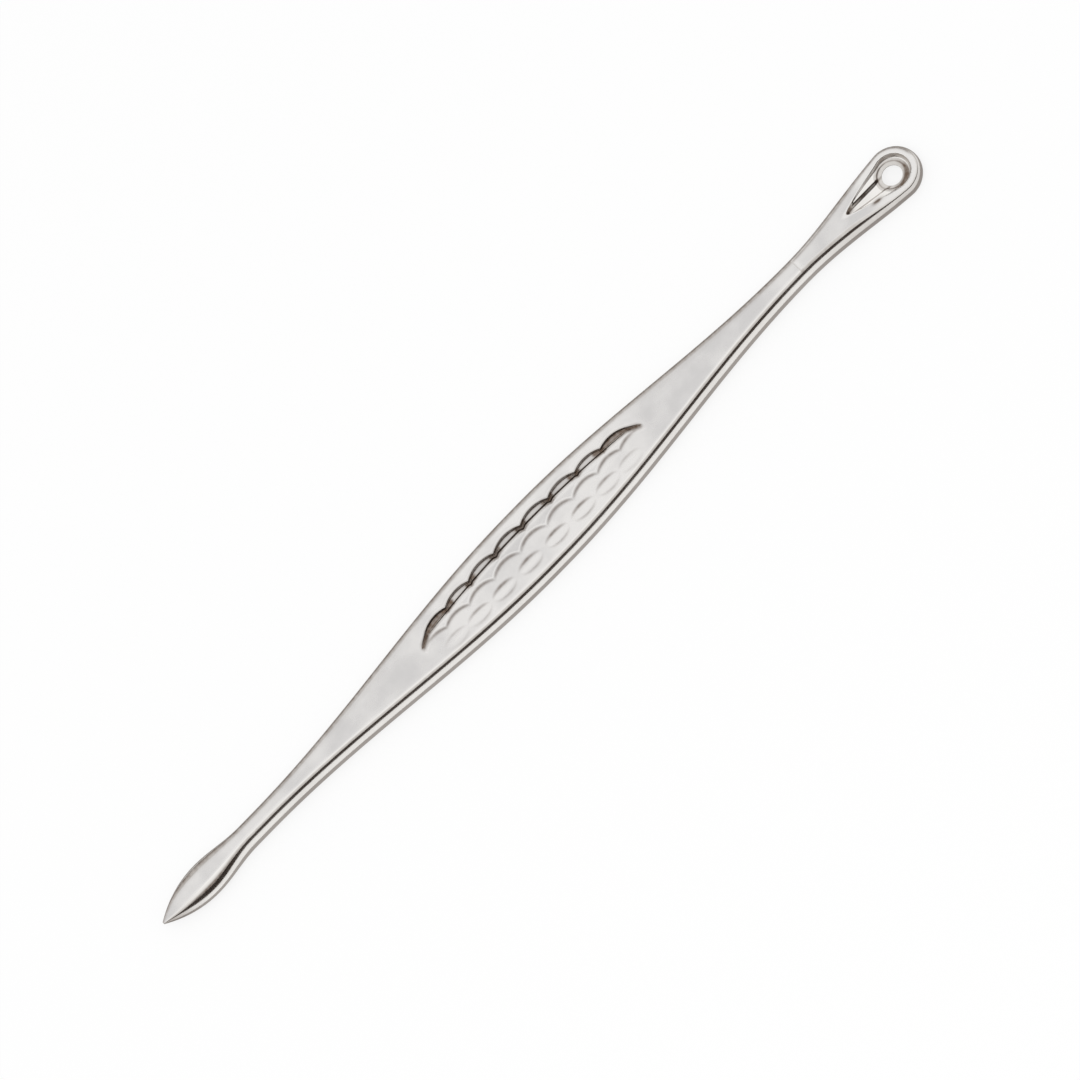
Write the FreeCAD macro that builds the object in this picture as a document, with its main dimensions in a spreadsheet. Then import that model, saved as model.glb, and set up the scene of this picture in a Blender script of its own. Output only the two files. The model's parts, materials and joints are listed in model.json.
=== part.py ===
import FreeCAD, Part
import math
import os
import Sketcher

# A blackhead extractor: one slim steel forging with a spear-shaped lancet at one end,
# a spindle-shaped handle with a fish-scale grip, and a dished head with a round eye.
# X runs from the lancet's tip to the head, Y across, Z up, with the underside at Z = 0.

os.makedirs("parts", exist_ok=True)
doc = FreeCAD.newDocument("blackhead_extractor")

# Driving dimensions, in millimetres and degrees
SIZES = {
    # Cross-section shared by the whole forging
    "body_thickness": 2.5,
    "side_bulge": 0.58,
    "grinding_stock": 0.1,
    # Lengths, end to end from the tip to the middle of the head
    "lancet_length": 6.6,
    "shoulder_length": 6.4,
    "front_neck_length": 2.0,
    "front_taper_length": 41.8,
    "handle_straight_length": 1.4,
    "rear_taper_length": 39.2,
    "head_flank_length": 14.45,
    # Full widths of the outline
    "tip_width": 0.26,
    "lancet_width": 4.26,
    "front_neck_width": 2.8,
    "handle_width": 9.2,
    "rear_neck_width": 3.08,
    "head_width": 6.3,
    # Fish-scale grip, sunk into the top of the handle
    "grip_length": 34.0,
    "grip_half_width": 2.5,
    "grip_edge_radius": 86.0,
    "grip_depth": 0.75,
    "scale_pitch": 3.92,
    "scale_row_pitch": 1.98,
    "scale_row_rise": 0.19,
    "scale_radius": 2.6,
    "scale_tilt": 11.3,
    "scale_wall_draft": 12.0,
    # Dished head and its eye
    "head_thickness": 1.75,
    "head_drop": 0.13,
    "web_thickness": 0.3,
    "eye_diameter": 2.4,
    "eye_setback": 0.25,
    "eye_land": 0.15,
    "dish_depth": 0.55,
    "dish_mouth_radius": 3.04,
    "dish_length": 6.45,
    "dish_floor_length": 3.9,
    "countersink_radius": 2.0,
}

sheet = doc.addObject("Spreadsheet::Sheet", "Sizes")
for row, (alias, number) in enumerate(SIZES.items(), start=1):
    sheet.set(f"A{row}", alias)
    sheet.set(f"B{row}", str(number))
    sheet.setAlias(f"B{row}", alias)
doc.recompute()

# Distances from the tip, as formulas on the sheet
SHOULDER_START = "Sizes.lancet_length"
NECK_START = f"{SHOULDER_START} + Sizes.shoulder_length"
FRONT_TAPER_START = f"{NECK_START} + Sizes.front_neck_length"
HANDLE_START = f"{FRONT_TAPER_START} + Sizes.front_taper_length"
HANDLE_END = f"{HANDLE_START} + Sizes.handle_straight_length"
REAR_NECK = f"{HANDLE_END} + Sizes.rear_taper_length"
HEAD_CENTRE = f"{REAR_NECK} + Sizes.head_flank_length"
EYE_CENTRE = f"{HEAD_CENTRE} - Sizes.eye_setback"
OVERALL_LENGTH = f"{HEAD_CENTRE} + Sizes.head_width / 2"
MIDDLE_HEIGHT = "Sizes.body_thickness / 2"
HEAD_MIDDLE = f"{MIDDLE_HEIGHT} - Sizes.head_drop"
HEAD_UNDERSIDE = f"{HEAD_MIDDLE} - Sizes.head_thickness / 2"
WEB_TOP = f"{HEAD_MIDDLE} + Sizes.head_thickness / 2 - Sizes.dish_depth"
WEB_UNDERSIDE = f"{WEB_TOP} - Sizes.web_thickness"

# Each taper is shared between a shank and the handle at its steepest point, half way along
TAPER_STEPS = 8
HALF_TAPER = TAPER_STEPS // 2


def value(formula):
    """The number that a formula on the sheet gives."""
    return float(sheet.evalExpression(formula))


def blend(first, second, share):
    """A formula for the size that lies the given share of the way from first to second."""
    return f"{first} + ({second} - {first}) * {share!r}"


def smooth(step, steps):
    """A share from 0 to 1 that leaves and arrives level, as half a cosine wave does."""
    return (1 - math.cos(math.pi * step / steps)) / 2


def origin_plane(body, role):
    """The body's own origin plane of that role."""
    return next(plane for plane in body.Origin.OriginFeatures if plane.Role == role)


def new_body(label):
    """An empty body under its own name."""
    body = doc.addObject("PartDesign::Body", label)
    body.Label = label
    return body


def new_sketch(body, role, offsets):
    """A sketch on one of the body's origin planes, moved by a formula for each offset axis."""
    sketch = body.newObject("Sketcher::SketchObject", "Sketch")
    sketch.AttachmentSupport = [(origin_plane(body, role), "")]
    sketch.MapMode = "FlatFace"
    for axis, formula in offsets.items():
        sketch.setExpression(f"AttachmentOffset.Base.{axis}", formula)
    return sketch


def constrain(sketch, name, formula, kind, *where):
    """A named dimension on the sketch that follows a formula on the sheet."""
    dimension = Sketcher.Constraint(kind, *where, value(formula))
    dimension.Name = name
    sketch.addConstraint(dimension)
    sketch.setExpression(f"Constraints.{name}", formula)


def point(x, y):
    """A point in a sketch's own plane."""
    return FreeCAD.Vector(x, y, 0)


def arc(centre, radius, start, end):
    """A sketch arc about centre, counter-clockwise between two angles in radians."""
    circle = Part.Circle(centre, FreeCAD.Vector(0, 0, 1), radius)
    return Part.ArcOfCircle(circle, start, end)


def side_sizes(width, thickness, stock="0"):
    """Formulas for the flat top's width, the height and the side's radius, at one cross-section.

    Stock is left on above and below the thickness, where the bowed sides run on.
    """
    scale = f"({thickness}) / Sizes.body_thickness"
    half_height = "Sizes.body_thickness / 2"
    radius = f"{scale} * (({half_height}) ^ 2 + Sizes.side_bulge ^ 2) / (2 * Sizes.side_bulge)"
    height = f"{thickness} + 2 * {stock}"
    flat_width = f"{width} - 2 * ({radius} - sqrt(({radius}) ^ 2 - (({height}) / 2) ^ 2))"
    return flat_width, height, radius


def add_section(body, along, width, thickness, stock="0", middle=MIDDLE_HEIGHT):
    """A cross-section of the forging: flat above and below, with both sides bowed outwards."""
    flat_width, height, radius = side_sizes(width, thickness, stock)
    half_flat = value(flat_width) / 2
    half_height = value(height) / 2
    side_radius = value(radius)
    spread = math.asin(half_height / side_radius)
    reach = half_flat - side_radius * math.cos(spread)
    sketch = new_sketch(body, "YZ_Plane", {"z": along, "y": middle})
    upper_left = point(-half_flat, half_height)
    upper_right = point(half_flat, half_height)
    lower_left = point(-half_flat, -half_height)
    lower_right = point(half_flat, -half_height)
    top = sketch.addGeometry(Part.LineSegment(upper_left, upper_right))
    right = sketch.addGeometry(arc(point(reach, 0), side_radius, -spread, spread))
    under = sketch.addGeometry(Part.LineSegment(lower_right, lower_left))
    left = sketch.addGeometry(arc(point(-reach, 0), side_radius, math.pi - spread, math.pi + spread))
    sketch.addConstraint(Sketcher.Constraint("Coincident", top, 2, right, 2))
    sketch.addConstraint(Sketcher.Constraint("Coincident", right, 1, under, 1))
    sketch.addConstraint(Sketcher.Constraint("Coincident", under, 2, left, 2))
    sketch.addConstraint(Sketcher.Constraint("Coincident", left, 1, top, 1))
    sketch.addConstraint(Sketcher.Constraint("Symmetric", top, 1, top, 2, -2))
    sketch.addConstraint(Sketcher.Constraint("Symmetric", right, 1, right, 2, -1))
    sketch.addConstraint(Sketcher.Constraint("Symmetric", left, 1, left, 2, -1))
    sketch.addConstraint(Sketcher.Constraint("Equal", right, left))
    constrain(sketch, "flat_width", flat_width, "DistanceX", top, 1, top, 2)
    constrain(sketch, "height", height, "DistanceY", right, 1, right, 2)
    constrain(sketch, "side_radius", radius, "Radius", right)
    return sketch


def loft_through(body, sections):
    """A smooth skin from the first cross-section to the last."""
    loft = body.newObject("PartDesign::AdditiveLoft", "Loft")
    loft.Profile = sections[0]
    loft.Sections = sections[1:]


def add_bed(body, height):
    """A sketched rectangle, wider and longer than the forging, at one height."""
    sketch = new_sketch(body, "XY_Plane", {"x": f"({OVERALL_LENGTH}) / 2", "z": height})
    half_length = value(OVERALL_LENGTH) / 2
    half_width = value("Sizes.handle_width")
    corners = [
        point(-half_length, -half_width),
        point(half_length, -half_width),
        point(half_length, half_width),
        point(-half_length, half_width),
    ]
    sides = []
    for first, second in zip(corners, corners[1:] + corners[:1]):
        sides.append(sketch.addGeometry(Part.LineSegment(first, second)))
    for first, second in zip(sides, sides[1:] + sides[:1]):
        sketch.addConstraint(Sketcher.Constraint("Coincident", first, 2, second, 1))
    for side, way in zip(sides, ("Horizontal", "Vertical", "Horizontal", "Vertical")):
        sketch.addConstraint(Sketcher.Constraint(way, side))
    sketch.addConstraint(Sketcher.Constraint("Symmetric", sides[0], 1, sides[1], 2, -1, 1))
    constrain(sketch, "length", OVERALL_LENGTH, "DistanceX", sides[0], 1, sides[0], 2)
    constrain(sketch, "width", "2 * Sizes.handle_width", "DistanceY", sides[1], 1, sides[1], 2)
    return sketch


def grind_faces(body):
    """The underside and the top face, ground flat and parallel through the stock left on the blank."""
    doc.recompute()
    for height, upwards in (("0", False), ("Sizes.body_thickness", True)):
        cut = body.newObject("PartDesign::Pocket", "GroundFace")
        cut.Profile = add_bed(body, height)
        cut.Reversed = upwards
        cut.setExpression("Length", "2 * Sizes.grinding_stock")
        doc.recompute()


def taper_section(body, step, start, length, first_width, second_width, stock):
    """One cross-section of a taper between two widths, level at both of its ends."""
    along = f"{start} + {length} * {step / TAPER_STEPS!r}"
    width = blend(first_width, second_width, smooth(step, TAPER_STEPS))
    return add_section(body, along, width, "Sizes.body_thickness", stock)


def front_section(body, step, stock="Sizes.grinding_stock"):
    """A cross-section of the taper from the front neck up to the handle."""
    length = "Sizes.front_taper_length"
    return taper_section(
        body, step, FRONT_TAPER_START, length, "Sizes.front_neck_width", "Sizes.handle_width", stock
    )


def rear_section(body, step, stock="Sizes.grinding_stock"):
    """A cross-section of the taper from the handle down to the rear neck."""
    length = "Sizes.rear_taper_length"
    return taper_section(body, step, HANDLE_END, length, "Sizes.handle_width", "Sizes.rear_neck_width", stock)


# Lancet: a spear point whose width and thickness swell together, then a waisted shoulder
def point_section(body, step, steps):
    """A cross-section of the spear point, from the blunt tip to the widest place."""
    swell = 1 - (1 - step / steps) ** 2
    along = f"Sizes.lancet_length * {step / steps!r}"
    width = blend("Sizes.tip_width", "Sizes.lancet_width", swell)
    tip_thickness = "Sizes.body_thickness * Sizes.tip_width / Sizes.lancet_width"
    thickness = blend(tip_thickness, "Sizes.body_thickness", swell)
    return add_section(body, along, width, thickness)


def shoulder_section(body, step, steps):
    """A cross-section of the shoulder, from the widest place to the front neck."""
    along = f"{SHOULDER_START} + Sizes.shoulder_length * {step / steps!r}"
    width = blend("Sizes.lancet_width", "Sizes.front_neck_width", smooth(step, steps))
    return add_section(body, along, width, "Sizes.body_thickness")


def make_lancet():
    body = new_body("lancet")
    point_steps = 5
    shoulder_steps = 4
    loft_through(body, [point_section(body, step, point_steps) for step in range(point_steps + 1)])
    doc.recompute()
    shoulder = [shoulder_section(body, step, shoulder_steps) for step in range(shoulder_steps + 1)]
    loft_through(body, shoulder + [front_section(body, 0, stock="0")])
    return body


# Shanks: the concave halves of the two tapers, between the necks and the handle
def make_front_shank():
    body = new_body("front_shank")
    loft_through(body, [front_section(body, step) for step in range(HALF_TAPER + 1)])
    grind_faces(body)
    return body


def make_rear_shank():
    body = new_body("rear_shank")
    loft_through(body, [rear_section(body, step) for step in range(HALF_TAPER, TAPER_STEPS + 1)])
    grind_faces(body)
    return body


# Handle: the convex middle of the spindle, with rows of scales sunk into its top face
def add_handle_blank(body):
    sections = [front_section(body, step) for step in range(HALF_TAPER, TAPER_STEPS + 1)]
    sections += [rear_section(body, step) for step in range(HALF_TAPER + 1)]
    loft_through(body, sections)


def edge_drop(offset):
    """A formula for how far the bowed outer edge of the grip falls back, at that many pitches along."""
    edge = "Sizes.grip_edge_radius"
    return f"({edge} - sqrt({edge} ^ 2 - ({offset!r} * Sizes.scale_pitch) ^ 2)) / cos(Sizes.scale_tilt)"


def arch_meeting(first, second, radius):
    """The upper point where two arches of one radius cross."""
    span = second - first
    rise = math.sqrt(radius**2 - (span.Length / 2) ** 2)
    return (first + second) / 2 + FreeCAD.Vector(-span.y, span.x, 0).normalize() * rise


def direction(centre, target):
    """The angle at which target is seen from centre."""
    return math.atan2(target.y - centre.y, target.x - centre.x)


def scale_row_sketch(body, row, count):
    """The sloping floor of one row of scales, edged by overlapping round arches."""
    offsets = {
        "x": f"({HANDLE_START} + {HANDLE_END}) / 2",
        "y": f"Sizes.grip_half_width - {row} * Sizes.scale_row_pitch",
        "z": f"Sizes.body_thickness - Sizes.grip_depth + {row} * Sizes.scale_row_rise",
    }
    sketch = new_sketch(body, "XY_Plane", offsets)
    lean = FreeCAD.Rotation(FreeCAD.Vector(-1, 0, 0), value("Sizes.scale_tilt"))
    sketch.AttachmentOffset = FreeCAD.Placement(FreeCAD.Vector(), lean)
    sketch.setExpression("AttachmentOffset.Rotation.Angle", "Sizes.scale_tilt")
    radius = value("Sizes.scale_radius")
    pitch = value("Sizes.scale_pitch")
    columns = [column - (count - 1) / 2 for column in range(count)]
    falls = [edge_drop(column) if row == 0 else "0" for column in columns]
    depths = [f"Sizes.scale_radius + {fall}" for fall in falls]
    centres = [point(column * pitch, -value(depth)) for column, depth in zip(columns, depths)]
    meetings = [arch_meeting(first, second, radius) for first, second in zip(centres, centres[1:])]
    left_end = centres[0] - point(radius, 0)
    right_end = centres[-1] + point(radius, 0)
    arches = []
    for centre, left, right in zip(centres, [left_end] + meetings, meetings + [right_end]):
        arch = arc(centre, radius, direction(centre, right), direction(centre, left))
        arches.append(sketch.addGeometry(arch))
    bottom = -value("Sizes.handle_width")
    left_foot = point(left_end.x, bottom)
    right_foot = point(right_end.x, bottom)
    left_side = sketch.addGeometry(Part.LineSegment(left_end, left_foot))
    base = sketch.addGeometry(Part.LineSegment(left_foot, right_foot))
    right_side = sketch.addGeometry(Part.LineSegment(right_foot, right_end))
    for first, second in zip(arches, arches[1:]):
        sketch.addConstraint(Sketcher.Constraint("Coincident", first, 1, second, 2))
        sketch.addConstraint(Sketcher.Constraint("Equal", first, second))
    sketch.addConstraint(Sketcher.Constraint("Tangent", arches[0], 2, left_side, 1))
    sketch.addConstraint(Sketcher.Constraint("Coincident", left_side, 2, base, 1))
    sketch.addConstraint(Sketcher.Constraint("Coincident", base, 2, right_side, 1))
    sketch.addConstraint(Sketcher.Constraint("Tangent", right_side, 2, arches[-1], 1))
    sketch.addConstraint(Sketcher.Constraint("Vertical", left_side))
    sketch.addConstraint(Sketcher.Constraint("Vertical", right_side))
    sketch.addConstraint(Sketcher.Constraint("Horizontal", base))
    constrain(sketch, "scale_radius", "Sizes.scale_radius", "Radius", arches[0])
    constrain(sketch, "reach", "Sizes.handle_width", "DistanceY", base, 1, -1, 1)
    constrain(sketch, "half_row", f"{columns[-1]!r} * Sizes.scale_pitch", "DistanceX", arches[0], 3, -1, 1)
    for column, (first, second) in enumerate(zip(arches, arches[1:])):
        constrain(sketch, f"pitch_{column}", "Sizes.scale_pitch", "DistanceX", first, 3, second, 3)
    for column, (arch, depth) in enumerate(zip(arches, depths)):
        constrain(sketch, f"depth_{column}", depth, "DistanceY", arch, 3, -1, 1)
    return sketch


def add_scale_row(body, row, count):
    """A row of scoops, deepest under its arches and rising towards the next row."""
    before = body.Shape.Volume
    pocket = body.newObject("PartDesign::Pocket", "ScaleRow")
    pocket.Profile = scale_row_sketch(body, row, count)
    pocket.Reversed = True
    pocket.setExpression("Length", "Sizes.body_thickness")
    pocket.setExpression("TaperAngle", "Sizes.scale_wall_draft")
    doc.recompute()
    if not body.Shape.Volume < before:
        raise RuntimeError(f"scale row {row} cuts nothing")


def make_handle():
    body = new_body("handle")
    add_handle_blank(body)
    grind_faces(body)
    outer_count = 2 * round(value("Sizes.grip_length / Sizes.scale_pitch / 2"))
    for row, count in enumerate((outer_count, outer_count + 1, outer_count)):
        add_scale_row(body, row, count)
    return body


# Head: a flared flank that runs into a round disc, dished from above and pierced by the eye
THINNING_START = 0.45
FLOOR_RADIUS = "Sizes.eye_diameter / 2 + Sizes.eye_land"


def flank_section(body, share):
    """A cross-section of the flank, which flares from the neck on and thins over its last part."""
    flare = 2.25 * share**2 - 1.25 * share**3
    thinning = smooth(max(0, share - THINNING_START), 1 - THINNING_START)
    along = f"{REAR_NECK} + Sizes.head_flank_length * {share!r}"
    width = blend("Sizes.rear_neck_width", "Sizes.head_width", flare)
    thickness = blend("Sizes.body_thickness", "Sizes.head_thickness", thinning)
    return add_section(body, along, width, thickness, middle=blend(MIDDLE_HEIGHT, HEAD_MIDDLE, thinning))


def add_flank(body):
    level_steps = 3
    thinning_steps = 5
    level_shares = [THINNING_START * step / level_steps for step in range(level_steps + 1)]
    loft_through(body, [flank_section(body, share) for share in level_shares])
    doc.recompute()
    thinning_step = (1 - THINNING_START) / thinning_steps
    thinning_shares = [THINNING_START + thinning_step * step for step in range(thinning_steps + 1)]
    loft_through(body, [flank_section(body, share) for share in thinning_shares])


def add_disc(body):
    flat_width, height, radius = side_sizes("Sizes.head_width", "Sizes.head_thickness")
    half_flat = value(flat_width) / 2
    half_height = value(height) / 2
    side_radius = value(radius)
    spread = math.asin(half_height / side_radius)
    sketch = new_sketch(body, "XZ_Plane", {"x": HEAD_CENTRE, "y": HEAD_MIDDLE})
    top = sketch.addGeometry(Part.LineSegment(point(0, half_height), point(half_flat, half_height)))
    reach = half_flat - side_radius * math.cos(spread)
    side = sketch.addGeometry(arc(point(reach, 0), side_radius, -spread, spread))
    under = sketch.addGeometry(Part.LineSegment(point(half_flat, -half_height), point(0, -half_height)))
    axis = sketch.addGeometry(Part.LineSegment(point(0, -half_height), point(0, half_height)))
    sketch.addConstraint(Sketcher.Constraint("Coincident", top, 2, side, 2))
    sketch.addConstraint(Sketcher.Constraint("Coincident", side, 1, under, 1))
    sketch.addConstraint(Sketcher.Constraint("Coincident", under, 2, axis, 1))
    sketch.addConstraint(Sketcher.Constraint("Coincident", axis, 2, top, 1))
    sketch.addConstraint(Sketcher.Constraint("Horizontal", top))
    sketch.addConstraint(Sketcher.Constraint("Symmetric", side, 1, side, 2, -1))
    sketch.addConstraint(Sketcher.Constraint("Symmetric", axis, 1, axis, 2, -1, 1))
    constrain(sketch, "half_flat", f"({flat_width}) / 2", "DistanceX", top, 1, top, 2)
    constrain(sketch, "height", height, "DistanceY", side, 1, side, 2)
    constrain(sketch, "side_radius", radius, "Radius", side)
    disc = body.newObject("PartDesign::Revolution", "Disc")
    disc.Profile = sketch
    disc.ReferenceAxis = (sketch, ["V_Axis"])
    disc.Angle = 360.0


def add_dish_outline(body, height, length, radius):
    """A pointed arch towards the neck, closed by a half circle about the eye."""
    nose = value(length)
    end_radius = value(radius)
    side_radius = (nose**2 + end_radius**2) / (2 * end_radius)
    rise = end_radius - side_radius
    lean = math.atan2(-rise, -nose)
    quarter = math.pi / 2
    sketch = new_sketch(body, "XY_Plane", {"x": EYE_CENTRE, "z": height})
    upper = sketch.addGeometry(arc(point(0, rise), side_radius, quarter, lean))
    end = sketch.addGeometry(arc(point(0, 0), end_radius, -quarter, quarter))
    lower = sketch.addGeometry(arc(point(0, -rise), side_radius, -lean, -quarter))
    sketch.addConstraint(Sketcher.Constraint("Coincident", end, 3, -1, 1))
    sketch.addConstraint(Sketcher.Constraint("Tangent", end, 2, upper, 1))
    sketch.addConstraint(Sketcher.Constraint("Tangent", lower, 2, end, 1))
    sketch.addConstraint(Sketcher.Constraint("Coincident", upper, 2, lower, 1))
    sketch.addConstraint(Sketcher.Constraint("PointOnObject", upper, 2, -1))
    sketch.addConstraint(Sketcher.Constraint("PointOnObject", upper, 3, -2))
    sketch.addConstraint(Sketcher.Constraint("PointOnObject", lower, 3, -2))
    constrain(sketch, "end_radius", radius, "Radius", end)
    constrain(sketch, "nose", length, "DistanceX", upper, 2, end, 3)
    return sketch


def cut_between(body, label, mouth, floor):
    """A hollow whose straight walls run from the sketched mouth to the sketched floor."""
    hollow = body.newObject("PartDesign::SubtractiveLoft", label)
    hollow.Profile = mouth
    hollow.Sections = [floor]
    hollow.Ruled = True
    doc.recompute()


def add_ring(body, height, radius):
    """A sketched circle about the eye, at one height."""
    sketch = new_sketch(body, "XY_Plane", {"x": EYE_CENTRE, "z": height})
    circle = Part.Circle(point(0, 0), FreeCAD.Vector(0, 0, 1), value(radius))
    ring = sketch.addGeometry(circle)
    sketch.addConstraint(Sketcher.Constraint("Coincident", ring, 3, -1, 1))
    constrain(sketch, "ring_radius", radius, "Radius", ring)
    return sketch


def add_dish(body):
    """The teardrop dish in the top, whose mouth is drawn at the height of the handle's top face."""
    mouth = add_dish_outline(body, "Sizes.body_thickness", "Sizes.dish_length", "Sizes.dish_mouth_radius")
    floor = add_dish_outline(body, WEB_TOP, "Sizes.dish_floor_length", FLOOR_RADIUS)
    cut_between(body, "Dish", mouth, floor)


def add_countersink(body):
    """The round relief in the underside, which leaves only a thin web round the eye."""
    mouth = add_ring(body, HEAD_UNDERSIDE, "Sizes.countersink_radius")
    floor = add_ring(body, WEB_UNDERSIDE, FLOOR_RADIUS)
    cut_between(body, "Countersink", mouth, floor)


def add_eye(body):
    pocket = body.newObject("PartDesign::Pocket", "Eye")
    pocket.Profile = add_ring(body, "0", "Sizes.eye_diameter / 2")
    pocket.Type = "ThroughAll"
    pocket.Midplane = True


def make_head():
    body = new_body("extractor_head")
    add_flank(body)
    doc.recompute()
    add_disc(body)
    doc.recompute()
    add_dish(body)
    add_countersink(body)
    add_eye(body)
    return body


sub_parts = [make_lancet(), make_front_shank(), make_handle(), make_rear_shank(), make_head()]
for part in sub_parts:
    part.setExpression("Placement.Base.x", f"-({OVERALL_LENGTH}) / 2")
doc.recompute()

# Nothing is written unless every object and every solid is sound
for item in doc.Objects:
    if "Invalid" in item.State or "Error" in item.State:
        raise RuntimeError(f"{item.Label} failed: {item.State}")
for part in sub_parts:
    if part.Shape.isNull() or not part.Shape.isValid() or len(part.Shape.Solids) != 1:
        raise RuntimeError(f"{part.Label} is not one sound solid")

for part in sub_parts:
    part.Shape.exportStep(os.path.join("parts", f"{part.Label}.step"))
    box = part.Shape.optimalBoundingBox(False)
    print(f"{part.Label}: volume {part.Shape.Volume:.3f}, x {box.XMin:.3f} to {box.XMax:.3f}, "
          f"y {box.YMin:.3f} to {box.YMax:.3f}, z {box.ZMin:.3f} to {box.ZMax:.3f}")
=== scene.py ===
import bmesh
import bpy
import json
import math
import numpy as np
from mathutils import Matrix, Vector


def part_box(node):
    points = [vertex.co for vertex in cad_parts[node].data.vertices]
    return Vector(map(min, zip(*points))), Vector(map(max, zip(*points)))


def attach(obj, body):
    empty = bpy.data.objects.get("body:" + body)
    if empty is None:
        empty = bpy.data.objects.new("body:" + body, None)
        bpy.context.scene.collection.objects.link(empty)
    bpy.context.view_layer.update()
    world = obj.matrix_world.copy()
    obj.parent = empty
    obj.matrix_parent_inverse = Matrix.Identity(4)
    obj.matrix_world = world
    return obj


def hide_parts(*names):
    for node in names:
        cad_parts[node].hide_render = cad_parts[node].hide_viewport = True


# A blackhead extractor of bright nickel-plated steel: a spear-shaped lancet, a spindle-shaped handle
# with a sunk fish-scale grip, and a dished head with a round eye.
# X runs from the lancet's tip to the head, Y from the near side to the far side, Z up from the underside.

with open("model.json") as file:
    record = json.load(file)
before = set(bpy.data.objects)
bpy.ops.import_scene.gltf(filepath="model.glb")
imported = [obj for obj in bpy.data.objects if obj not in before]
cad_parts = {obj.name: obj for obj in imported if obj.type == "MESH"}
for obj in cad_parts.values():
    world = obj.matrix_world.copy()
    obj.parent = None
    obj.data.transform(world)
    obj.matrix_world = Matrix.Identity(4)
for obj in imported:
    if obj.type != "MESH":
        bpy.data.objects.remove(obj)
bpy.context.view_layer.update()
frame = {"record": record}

# Shapes are worked out in millimetres and written in metres
MM = 0.001


def node_box(node):
    """A node's lowest and highest corner, in millimetres."""
    lowest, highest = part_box(node)
    return np.array(lowest) / MM, np.array(highest) / MM


# Places along the tool, from the frame
TIP = node_box("lancet")[0][0]
FRONT_TAPER_START = node_box("front_shank")[0][0]
HANDLE_FRONT = node_box("handle")[0][0]
HANDLE_REAR = node_box("rear_shank")[0][0]
REAR_NECK = node_box("extractor_head")[0][0]
HEAD_END = node_box("extractor_head")[1][0]
FRONT_TAPER = 2 * (HANDLE_FRONT - FRONT_TAPER_START)
REAR_TAPER = 2 * (REAR_NECK - HANDLE_REAR)
REAR_TAPER_START = REAR_NECK - REAR_TAPER

# Half widths of the outline, from the frame
LANCET_HALF = node_box("lancet")[1][1]
HANDLE_HALF = node_box("handle")[1][1]
FRONT_NECK_HALF = 2 * node_box("front_shank")[1][1] - HANDLE_HALF
REAR_NECK_HALF = 2 * node_box("rear_shank")[1][1] - HANDLE_HALF
HEAD_HALF = node_box("extractor_head")[1][1]
HEAD_CENTRE = HEAD_END - HEAD_HALF
FLANK_LENGTH = HEAD_CENTRE - REAR_NECK

# Cross-section: flat above and below, sides bowed outwards, creases a little rounded
HALF_THICKNESS = node_box("handle")[1][2] / 2
SIDE_BULGE = 0.58
SIDE_RADIUS = (HALF_THICKNESS**2 + SIDE_BULGE**2) / (2 * SIDE_BULGE)
CREASE_RADIUS = 0.5

# Lancet
TIP_HALF = 0.13
POINT_LENGTH = 6.6
SHOULDER_LENGTH = 6.4
LANCET_BEVEL = 0.5

# Head: it flares, thins and drops a little towards its round end, where its sides stand steeper
FLARE_RISE = 2.25
HEAD_HALF_THICKNESS = 0.875
HEAD_DROP = 0.13
THINNING_START = 0.45
HEAD_STEEPNESS = 0.3


def rise(share):
    """A share from 0 to 1 that leaves and arrives level, as half a cosine wave does."""
    return (1 - np.cos(np.pi * np.clip(share, 0, 1))) / 2


def step(inside, width):
    """A wall's share of its full drop, rounded above and below, from the distance inside its edge."""
    share = np.clip(inside / width, 0, 1)
    return share * share * (3 - 2 * share)


def hump(share):
    """A rounded hump that is 1 half way and 0 at both ends."""
    return 4 * share * (1 - share)


def soft_line(distance, width):
    """A line that is strongest at distance 0 and fades over its width."""
    return np.exp(-(distance / width) ** 2)


def blend(start, end, share):
    """A value that goes from start to end as the share goes from 0 to 1."""
    return start + (end - start) * share


def point_swell(x):
    """How far the outline has swelled behind the lancet's tip, from 0 to 1."""
    return 1 - (1 - np.clip((x - TIP) / POINT_LENGTH, 0, 1)) ** 2


def half_width(x):
    """Half the outline's width at each place along the tool, up to the middle of the head."""
    point = blend(TIP_HALF, LANCET_HALF, point_swell(x))
    waist = rise((x - TIP - POINT_LENGTH) / SHOULDER_LENGTH)
    shoulder = (FRONT_NECK_HALF - LANCET_HALF) * waist
    front = (HANDLE_HALF - FRONT_NECK_HALF) * rise((x - FRONT_TAPER_START) / FRONT_TAPER)
    rear = (REAR_NECK_HALF - HANDLE_HALF) * rise((x - REAR_TAPER_START) / REAR_TAPER)
    share = np.clip((x - REAR_NECK) / FLANK_LENGTH, 0, 1)
    flare = (HEAD_HALF - REAR_NECK_HALF) * (FLARE_RISE * share**2 - (FLARE_RISE - 1) * share**3)
    return point + shoulder + front + rear + flare


def thinning(x):
    """How far the flank has thinned down to the head's thickness."""
    share = (x - REAR_NECK) / FLANK_LENGTH
    return rise((share - THINNING_START) / (1 - THINNING_START))


def half_height(x):
    """Half the thickness at each place along the tool."""
    tip_height = HALF_THICKNESS * TIP_HALF / LANCET_HALF
    point = blend(tip_height, HALF_THICKNESS, point_swell(x))
    return point + (HEAD_HALF_THICKNESS - HALF_THICKNESS) * thinning(x)


def middle_height(x):
    """The height of the middle of the section at each place along the tool."""
    return HALF_THICKNESS - HEAD_DROP * thinning(x)


def lancet_swell(x):
    """How far the lancet's spear has swelled at each place along the tool, and 0 behind it."""
    return rise((x - TIP) / POINT_LENGTH) * (1 - rise((x - TIP - POINT_LENGTH) / SHOULDER_LENGTH))


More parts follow.
